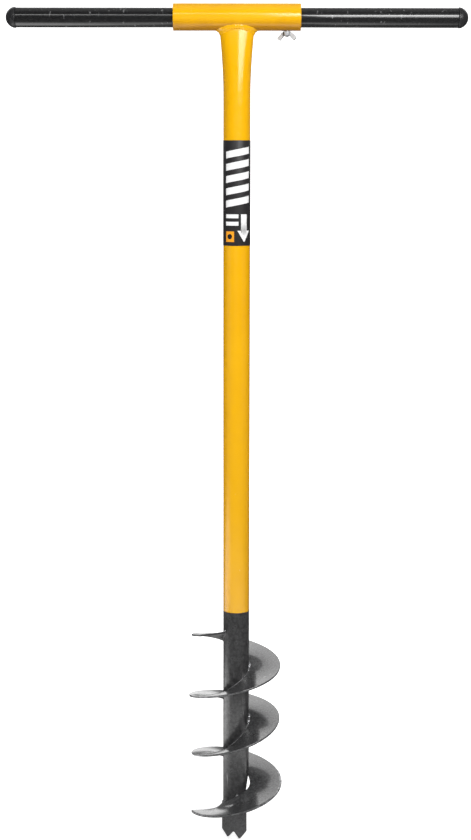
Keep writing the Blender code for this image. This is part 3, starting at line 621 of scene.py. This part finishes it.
def flight_weld(name, deg0, deg1, height, width, lumps, node):
    t0, t1 = math.radians(deg0), math.radians(deg1)
    count = 64
    rings = []
    for k in range(count + 1):
        u = k / count
        t = t0 + (t1 - t0) * u
        body = math.sin(math.pi * min(max(u, 0.01), 0.99)) ** 0.5
        grow = body * (0.78 + 0.22 * math.cos(2 * math.pi * lumps * u)) * (1 + 0.06 * math.sin(60 * u + lumps))
        h, w = height * grow, width * grow
        r0 = TUBE_R - 0.1 * MM
        shelf = []
        for s in (0.0, 0.5, 1.0):
            r = r0 + (w + 0.3 * MM) * s
            shelf.append((r, flight_mid(t, max(r, inner_r(t))) + FLIGHT_THICK / 2 - 0.05 * MM))
        arc = []
        for j in range(1, 12):
            a = math.pi / 2 * j / 12
            arc.append((r0 + (w + 0.3 * MM) * math.cos(a) ** 0.8, shelf[0][1] + (shelf[-1][1] - shelf[0][1]) * math.cos(a) + (h + 0.3 * MM) * math.sin(a) ** 0.8))
        peak = (r0, shelf[0][1] + h + 0.3 * MM)
        rings.append([(r * math.cos(t), r * math.sin(t), z) for r, z in shelf + arc + [peak]])
    return finish(name, lofted(rings, False), M_WELD, "auger_body", [node], angle=80)


flight_weld("weld_top_end", 216.0, 190.0, 3.6 * MM, 3.4 * MM, 1, "flight_weld_top_end")
flight_weld("weld_first_right", 22.0, -26.0, 2.4 * MM, 2.2 * MM, 2, "flight_weld_first_right")
flight_weld("weld_first_left", -148.0, -178.0, 2.6 * MM, 2.4 * MM, 2, "flight_weld_first_left")
flight_weld("weld_second_right", -336.0, -392.0, 2.2 * MM, 2.2 * MM, 3, "flight_weld_second_right")
flight_weld("weld_second_left", -506.0, -538.0, 2.6 * MM, 2.4 * MM, 2, "flight_weld_second_left")
flight_weld("weld_third_right", -626.0, -654.0, 2.4 * MM, 2.2 * MM, 1, "flight_weld_third_right")


def leading_weld(name, deg0, deg1, rise, drop, node):
    t0, t1 = math.radians(deg0), math.radians(deg1)
    rings = []
    for k in range(41):
        u = k / 40
        t = t0 + (t1 - t0) * u
        body = math.sin(math.pi * min(max(u, 0.02), 0.98)) ** 0.6 * (1 + 0.07 * math.sin(37 * u))
        r0 = TUBE_R - 0.1 * MM
        r1 = inner_r(t) + 0.05 * MM
        mid = flight_mid(t, inner_r(t))
        shelf = mid + FLIGHT_THICK / 2 - 0.05 * MM
        h = rise * body
        over = 1.3 * MM * body
        ring = [
            (r0, mid - drop * body), (r1, mid - drop * body), (r1, shelf), (r1 + over, shelf - 0.1 * MM), (r1 + 0.9 * over, shelf + 0.4 * h),
            (r1 + 0.4 * over, shelf + 0.8 * h), ((r0 + r1) / 2, shelf + 1.05 * h), (r0, shelf + 1.2 * h),
        ]
        rings.append([(r * math.cos(t), r * math.sin(t), z) for r, z in ring])
    return finish(name, lofted(rings, False), M_WELD, "auger_body", [node], angle=80)


leading_weld("weld_lower_front", -800.0, -812.0, 1.8 * MM, 1.0 * MM, "flight_weld_lower_front")
leading_weld("weld_cutting_end", -862.0, -889.0, 1.8 * MM, 1.0 * MM, "flight_weld_cutting_end")

# ================================================================== pilot point
HALF_W, THICK, TANG_W, TANG_TOP = 17.3 * MM, 5.5 * MM, 12.9 * MM, 92.0 * MM
CORNER_Z, NOTCH_Z, POINT_X, LAND = 10.6 * MM, 8.3 * MM, 8.6 * MM, 0.9 * MM
shoulder = AUGER_TUBE_END_Z - GAP
SHIFT = -2.5 * MM
blade = [
    (-HALF_W, shoulder), (-HALF_W, CORNER_Z), (-POINT_X - LAND, 0.0), (-POINT_X + LAND, 0.0), (-0.9 * MM, NOTCH_Z), (0.9 * MM, NOTCH_Z),
    (POINT_X - LAND, 0.0), (POINT_X + LAND, 0.0), (HALF_W, CORNER_Z), (HALF_W, shoulder),
]
outline = [(x + SHIFT, z) for x, z in blade] + [(TANG_W, shoulder), (TANG_W, TANG_TOP), (-TANG_W, TANG_TOP), (-TANG_W, shoulder)]
plate = bmesh.new()
face = plate.faces.new([plate.verts.new((x, -THICK / 2, z)) for x, z in outline])
pushed = bmesh.ops.extrude_face_region(plate, geom=[face])
bmesh.ops.translate(plate, verts=[g for g in pushed["geom"] if isinstance(g, bmesh.types.BMVert)], vec=(0, THICK, 0))
bmesh.ops.recalc_face_normals(plate, faces=plate.faces)
corner = [e for e in plate.edges if abs(e.verts[0].co.y - e.verts[1].co.y) > 1e-6 and e.verts[0].co.z < 12 * MM]
bmesh.ops.bevel(plate, geom=corner, offset=0.8 * MM, segments=4, profile=0.5, affect="EDGES", clamp_overlap=True)
rim = [e for e in plate.edges if abs(e.verts[0].co.y - e.verts[1].co.y) < 1e-9 and abs(abs(e.verts[0].co.y) - THICK / 2) < 1e-9]
bmesh.ops.bevel(plate, geom=rim, offset=0.45 * MM, segments=3, profile=0.5, affect="EDGES", clamp_overlap=True)
bmesh.ops.transform(plate, matrix=Matrix.Rotation(PILOT_TURN, 4, "Z"), verts=plate.verts)
finish("pilot_plate", plate, M_POINT, "auger_body", ["pilot_point"], angle=40)

for name, side, node in (("weld_pilot_front", -1, "pilot_weld_front"), ("weld_pilot_back", 1, "pilot_weld_back")):
    bead = bmesh.new()
    bmesh.ops.create_uvsphere(bead, u_segments=64, v_segments=24, radius=1.0)
    for v in bead.verts:
        wob = 1 + 0.10 * math.sin(9 * v.co.x + 1.3 * side) * (1 - v.co.x**2)
        v.co = Vector((v.co.x * 11.5 * MM, v.co.y * 2.6 * MM * wob, v.co.z * 2.4 * MM * wob))
    offset = Matrix.Rotation(PILOT_TURN, 4, "Z") @ Vector((0, side * (THICK / 2 + 2.45 * MM), 0))
    bmesh.ops.transform(bead, matrix=Matrix.Rotation(PILOT_TURN, 4, "Z"), verts=bead.verts)
    finish(name, bead, M_WELD, "auger_body", [node], origin=(offset.x, offset.y, AUGER_TUBE_END_Z - GAP - 2.3 * MM), angle=80)

# ================================================================== label and its printing
finish("label_film", spun(rounded(LABEL_IN_R, LABEL_OUT_R, LABEL_LOW_Z, LABEL_TOP_Z, 0.08 * MM, 2), 128), M_LABEL, "auger_body", ["label_wrap"])


def printed(name, polygons, mat, lift):
    """Flat polygons in millimetres round the tube and up the label, wrapped on to the film as a thin ink layer."""
    bm = bmesh.new()
    for poly in polygons:
        bm.faces.new([bm.verts.new((u * MM, 0, v * MM)) for u, v in poly])
    for k in range(-14, 15):
        bmesh.ops.bisect_plane(bm, geom=bm.verts[:] + bm.edges[:] + bm.faces[:], plane_co=(k * 1.5 * MM, 0, 0), plane_no=(1, 0, 0))
    bmesh.ops.recalc_face_normals(bm, faces=bm.faces)
    lower = list(bm.faces)
    pushed = bmesh.ops.extrude_face_region(bm, geom=lower)
    verts_out = {g for g in pushed["geom"] if isinstance(g, bmesh.types.BMVert)}
    for v in bm.verts:
        r = LABEL_OUT_R + (lift if v in verts_out else 0.01 * MM)
        a = -math.pi / 2 + v.co.x / LABEL_OUT_R
        v.co = Vector((r * math.cos(a), r * math.sin(a), v.co.z))
    return finish(name, bm, mat, "auger_body", angle=30)


def arc_band(cx, cy, r0, r1, a0, a1, steps=28):
    quads = []
    for k in range(steps):
        a, b = (math.radians(a0 + (a1 - a0) * j / steps) for j in (k, k + 1))
        quads.append([(cx + r0 * math.cos(a), cy + r0 * math.sin(a)), (cx + r1 * math.cos(a), cy + r1 * math.sin(a)),
                      (cx + r1 * math.cos(b), cy + r1 * math.sin(b)), (cx + r0 * math.cos(b), cy + r0 * math.sin(b))])
    return quads


base_v = LABEL_LOW_Z / MM
white = []
# slanted bands, like the turns of a screw seen from the side
for k in range(5):
    v = base_v + 49.0 + 15.6 * k
    white += [[(-15.6, v), (18.6, v + 6.6), (18.6, v + 15.4), (-15.6, v + 8.8)]]
# a plain arrow that points to the drilling end
white += [[(5.6, base_v + 40.5), (5.6, base_v + 19.5), (14.2, base_v + 19.5), (14.2, base_v + 40.5)], [(0.9, base_v + 19.5), (9.9, base_v + 4.6), (18.9, base_v + 19.5)]]
white += [[(-15.6, base_v + 40.5), (-15.6, base_v + 35.5), (2.2, base_v + 35.5), (2.2, base_v + 40.5)]]
white += [[(-15.6, base_v + 31.0), (-15.6, base_v + 26.0), (2.2, base_v + 26.0), (2.2, base_v + 31.0)]]
printed("label_print_white", white, M_WHITE, 0.03 * MM)
printed("label_print_orange", [[(-15.5, base_v + 5.0), (-3.4, base_v + 5.0), (-3.4, base_v + 18.6), (-15.5, base_v + 18.6)]], M_ORANGE, 0.03 * MM)
dark = arc_band(-9.45, base_v + 11.8, 0.0001, 3.4, 0.0, 360.0, 24)
printed("label_print_dot", dark, M_LABEL, 0.045 * MM)

# ================================================================== handle bar and caps
finish("bar_tube", spun(rounded(BAR_R - BAR_WALL, BAR_R, -BAR_HALF, BAR_HALF, 0.4 * MM), 128, axis=(1, 0, 0)), M_BAR, "handle", ["handle_bar"], origin=(0, 0, BAR_Z))
stem_r, rib_r = BAR_R - BAR_WALL - 0.9 * MM, BAR_R - BAR_WALL - 0.2 * MM
for name, side, node in (("cap_left", -1, "end_cap_left"), ("cap_right", 1, "end_cap_right")):
    pts = [(0.0, -CAP_STEM_LEN), (stem_r - 0.8 * MM, -CAP_STEM_LEN), (stem_r, -CAP_STEM_LEN + 0.8 * MM)]
    for k in range(3):
        z = -CAP_STEM_LEN + (4.0 + 5.6 * k) * MM
        pts += [(stem_r, z), (rib_r, z + 0.9 * MM), (stem_r, z + 3.0 * MM)]
    pts += [(stem_r, GAP), (CAP_LIP_R - 0.5 * MM, GAP), (CAP_LIP_R - 0.15 * MM, GAP + 0.15 * MM), (CAP_LIP_R, GAP + 0.5 * MM), (CAP_LIP_R, CAP_LIP_LEN - 0.6 * MM), (CAP_LIP_R - 0.06 * MM, CAP_LIP_LEN - 0.3 * MM),
            (CAP_LIP_R - 0.25 * MM, CAP_LIP_LEN - 0.05 * MM), (CAP_LIP_R - 0.42 * MM, CAP_LIP_LEN + 0.1 * MM), (CAP_LIP_R - 0.30 * MM, CAP_LIP_LEN + 0.5 * MM)]
    for k in range(2, 40):
        u = math.cos(math.pi / 2 * k / 40)
        r = (CAP_LIP_R - 0.25 * MM) * (1 - (1 - u) ** 1.6) ** 0.5
        pts.append((r, CAP_LIP_LEN + CAP_DOME_LEN * (1 - u)))
    # moulding gate: a shallow dimple with a nub
    tip = CAP_LIP_LEN + CAP_DOME_LEN
    pts = [p for p in pts if not (p[0] < 2.2 * MM and p[1] > CAP_LIP_LEN)]
    pts += [(1.9 * MM, tip - 0.30 * MM), (1.5 * MM, tip - 0.55 * MM), (0.9 * MM, tip - 0.50 * MM), (0.6 * MM, tip - 0.28 * MM), (0.0, tip - 0.25 * MM)]
    finish(name, spun(pts, 96, axis=(side, 0, 0), closed=False), M_CAP, "handle", [node], origin=(side * BAR_HALF, 0, BAR_Z), angle=42)

# ================================================================== clamp stud with a cut thread
PITCH = 1.0 * MM
seg, rows = 48, 90
length = SCREW_TOP_Z - SCREW_END_Z
rings = []
for j in range(rows + 1):
    z = -length + length * j / rows
    ring = []
    for i in range(seg):
        a = 2 * math.pi * i / seg
        phase = ((z / PITCH) - a / (2 * math.pi)) % 1.0
        tooth = abs(phase - 0.5) * 2
        r = SCREW_R - 0.02 * MM - 0.5 * MM * (1 - min(max(tooth * 1.25, 0.0), 1.0))
        nose = min(1.0, ((z + length) / (1.7 * MM) + 0.02)) ** 0.45
        tail = min(1.0, (-z / (0.6 * MM)) * 0.2 + 0.8)
        r = min(r, SCREW_R * nose) * tail
        ring.append((r * math.cos(a), r * math.sin(a), z))
    rings.append(ring)
finish("stud_thread", lofted(rings, False), M_STUD, "clamp_screw", ["clamp_stud"], origin=(SCREW_X, 0, SCREW_TOP_Z), angle=70)

# ================================================================== wing head, cast in one with soft corners
hub = spun(
    [
        (SCREW_HOLE_R - 0.15 * MM, -HUB_LEN), (HUB_LOW_R - 0.4 * MM, -HUB_LEN), (HUB_LOW_R, -HUB_LEN + 0.5 * MM), (HUB_TOP_R, -1.0 * MM), (HUB_TOP_R, -0.4 * MM),
        (HUB_TOP_R - 0.4 * MM, 0.0), (SCREW_HOLE_R - 0.15 * MM, 0.0),
    ],
    64,
)
for side in (-1, 1):
    blade = bmesh.new()
    pts = [(3.75, -0.9), (6.9, -1.2), (13.9, -8.3), (9.6, -11.8), (4.6, -6.2), (3.75, -5.0)]
    face = blade.faces.new([blade.verts.new((side * x * MM, -WING_THICK / 2, z * MM)) for x, z in pts])
    pushed = bmesh.ops.extrude_face_region(blade, geom=[face])
    bmesh.ops.translate(blade, verts=[g for g in pushed["geom"] if isinstance(g, bmesh.types.BMVert)], vec=(0, WING_THICK, 0))
    bmesh.ops.recalc_face_normals(blade, faces=blade.faces)
    tips = [e for e in blade.edges if all(abs(v.co.x) > 9 * MM for v in e.verts) and abs(e.verts[0].co.y - e.verts[1].co.y) > 1e-6]
    bmesh.ops.bevel(blade, geom=tips, offset=1.0 * MM, segments=4, profile=0.5, affect="EDGES")
    hub = boolean(hub, blade, "UNION")
bmesh.ops.transform(hub, matrix=Matrix.Rotation(WING_TURN, 4, "Z"), verts=hub.verts)
wing = finish("wing_cast", hub, M_ZINC, "wing", ["wing_head"], origin=(SCREW_X, 0, HUB_TOP_Z), angle=60)
soften = wing.modifiers.new("remesh", "REMESH")
soften.mode, soften.voxel_size, soften.use_smooth_shade = "VOXEL", 0.00022, True
relax = wing.modifiers.new("relax", "SMOOTH")
relax.factor, relax.iterations = 0.5, 3

# ================================================================== floor, light, camera
floor_mesh = bpy.data.meshes.new("floor")
b = bmesh.new()
bmesh.ops.create_grid(b, x_segments=1, y_segments=1, size=30.0)
b.to_mesh(floor_mesh)
b.free()
floor = bpy.data.objects.new("floor", floor_mesh)
bpy.context.scene.collection.objects.link(floor)
floor.location = (0, 0, -0.0005)
fl = Nodes("floor_pale")
path = fl.add("ShaderNodeLightPath")
away = fl.radius()
grain = fl.noise(14.0, 3.0)
spot = fl.xyz()
# painted light: the floor glows in patches ahead of, left of and far behind the object, strongly to reflections and
# weakly to other rays; to the camera it glows more the further it is from the object
ahead = fl.math("MULTIPLY", fl.range(fl.radius(0.0, -0.05), 0.22, 0.85, 1.9, 0.03), fl.range(spot[1], -0.10, 0.20, 1.0, 0.08))
ahead = fl.math("MULTIPLY", ahead, fl.range(fl.radius(0.0, 0.0), 0.20, 0.30, 0.02, 1.0))
left_patch = fl.range(fl.radius(-0.66, 0.0), 0.20, 0.62, 2.6, 0.0)
far_back = fl.math("MULTIPLY", fl.range(spot[1], 1.5, 2.2, 0.0, 1.3), fl.range(fl.math("ABSOLUTE", spot[0]), 0.25, 0.60, 1.0, 0.0))
mirrored = fl.math("MAXIMUM", fl.math("MAXIMUM", ahead, left_patch), far_back)
near_glow = fl.math("MULTIPLY", mirrored, fl.lerp(path.outputs["Is Glossy Ray"], 0.18, 1.0))
camera_glow = fl.range(away, 0.10, 0.9, 0.62, 1.6)
pale = fl.ramp(grain, [(0.3, (0.80, 0.80, 0.80)), (0.7, (0.84, 0.84, 0.84))])
# painted shade: to reflections and bounced light the floor is darker than the pale colour the camera sees
unseen = fl.mix(path.outputs["Is Glossy Ray"], (0.48, 0.48, 0.48), (0.14, 0.14, 0.14))
fl.set(Base_Color=fl.mix(path.outputs["Is Camera Ray"], unseen, pale), Roughness=0.9, Specular_IOR_Level=0.05,
       Emission_Color=(1.0, 1.0, 1.0), Emission_Strength=fl.lerp(path.outputs["Is Camera Ray"], near_glow, camera_glow))
floor_mesh.materials.append(fl.mat)

world = bpy.data.worlds.new("studio")
bpy.context.scene.world = world
world.use_nodes = True
wt = world.node_tree
bg = wt.nodes["Background"]
tc = wt.nodes.new("ShaderNodeTexCoord")
sep = wt.nodes.new("ShaderNodeSeparateXYZ")
wt.links.new(tc.outputs["Generated"], sep.inputs[0])
ramp = wt.nodes.new("ShaderNodeMapRange")
ramp.interpolation_type = "SMOOTHSTEP"
ramp.inputs["From Min"].default_value = -0.6
ramp.inputs["From Max"].default_value = 0.9
ramp.inputs["To Min"].default_value = 0.03
ramp.inputs["To Max"].default_value = 0.22
wt.links.new(sep.outputs[1], ramp.inputs["Value"])
above = wt.nodes.new("ShaderNodeMapRange")
above.interpolation_type = "SMOOTHSTEP"
above.inputs["From Min"].default_value = 0.80
above.inputs["From Max"].default_value = 0.98
above.inputs["To Min"].default_value = 0.0
above.inputs["To Max"].default_value = 0.3
wt.links.new(sep.outputs[2], above.inputs["Value"])
def world_math(op, a, b):
    node = wt.nodes.new("ShaderNodeMath")
    node.operation = op
    for sock, v in zip(node.inputs, (a, b)):
        if isinstance(v, float):
            sock.default_value = v
        else:
            wt.links.new(v, sock)
    return node.outputs[0]


def world_range(v, lo, hi, to_lo, to_hi):
    node = wt.nodes.new("ShaderNodeMapRange")
    node.interpolation_type = "SMOOTHSTEP"
    wt.links.new(v, node.inputs["Value"])
    for key, amount in (("From Min", lo), ("From Max", hi), ("To Min", to_lo), ("To Max", to_hi)):
        node.inputs[key].default_value = amount
    return node.outputs["Result"]


# a low pale panel straight behind, at the height of the horizon, which the left turns of the screw mirror
panel = world_math("MULTIPLY", world_range(world_math("ABSOLUTE", sep.outputs[0], 0.0), 0.12, 0.22, 1.3, 0.0), world_range(world_math("ABSOLUTE", sep.outputs[2], 0.0), 0.12, 0.24, 1.0, 0.0))
panel = world_math("MULTIPLY", panel, world_range(sep.outputs[1], 0.0, 0.1, 0.0, 1.0))
both_out = world_math("ADD", world_math("ADD", ramp.outputs["Result"], above.outputs["Result"]), panel)
seen = wt.nodes.new("ShaderNodeLightPath")
choose = wt.nodes.new("ShaderNodeMix")
choose.data_type = "FLOAT"
wt.links.new(seen.outputs["Is Camera Ray"], choose.inputs[0])
wt.links.new(both_out, choose.inputs[2])
choose.inputs[3].default_value = 1.6
wt.links.new(choose.outputs[0], bg.inputs["Strength"])
bg.inputs["Color"].default_value = (1.0, 1.0, 1.0, 1.0)


def area(name, size, loc, aim, radiance, glossy=True, colour=(1, 1, 1)):
    data = bpy.data.lights.new(name, "AREA")
    data.shape = "RECTANGLE"
    data.size, data.size_y = size
    data.energy = radiance * math.pi * size[0] * size[1]
    data.color = colour
    o = bpy.data.objects.new(name, data)
    bpy.context.scene.collection.objects.link(o)
    o.location = loc
    o.rotation_mode = "QUATERNION"
    o.rotation_quaternion = (Vector(aim) - Vector(loc)).to_track_quat("-Z", "Y")
    o.visible_glossy = glossy
    return o


# one big softbox to the right of the camera, near the handle
area("key", (1.10, 0.72), (0.78, -1.45, 1.50), (0.0, 0.0, 1.0), 8.4)
# a small box above the key that draws a streak along the right half of the bar
area("streak", (0.75, 0.24), (0.62, -1.60, 1.66), (0.15, 0.0, 1.09), 5.2)
# a long soft panel behind and above, which the turns of the screw mirror
area("back_top", (3.4, 1.6), (0.0, 1.9, 1.9), (0.0, 0.0, 0.3), 1.7)
# an overhead sheet, felt but not mirrored
area("overhead", (2.4, 1.6), (0.0, -0.5, 2.9), (0.0, 0.0, 0.8), 1.45, glossy=False)
# a narrow strip above the camera that draws a faint line along the bar and the socket
area("strip", (2.6, 0.20), (-0.3, -1.9, 1.96), (0.0, 0.0, 1.1), 6.5)
# wide fill from the front, felt but not mirrored
area("front_fill", (2.4, 1.6), (-0.4, -3.2, 0.6), (0.0, 0.0, 0.4), 2.0, glossy=False)
# low fill at the left that brightens the screw end
area("left_low", (1.5, 0.7), (-1.7, -0.5, 0.40), (0.0, 0.0, 0.3), 3.6, glossy=False)
# its weaker partner at the right
area("right_low", (1.2, 0.7), (1.6, -0.9, 0.35), (0.0, 0.0, 0.3), 1.6, glossy=False)

cam_data = bpy.data.cameras.new("camera")
cam = bpy.data.objects.new("camera", cam_data)
bpy.context.scene.collection.objects.link(cam)
cam_data.sensor_width = 36.0
cam_data.lens = 1675.7 * 36.0 / 840.0
cam_data.shift_y = -(420.0 - 389.8) / 840.0
cam_data.clip_start, cam_data.clip_end = 0.05, 100.0
cam.location = (-0.0013, -2.181, 0.922)
cam.rotation_mode = "QUATERNION"
cam.rotation_quaternion = (Matrix.Rotation(math.radians(90 - 7.97), 4, "X") @ Matrix.Rotation(math.radians(0.074), 4, "Z")).to_quaternion()
bpy.context.scene.camera = cam
bpy.context.scene.view_settings.view_transform = "Standard"
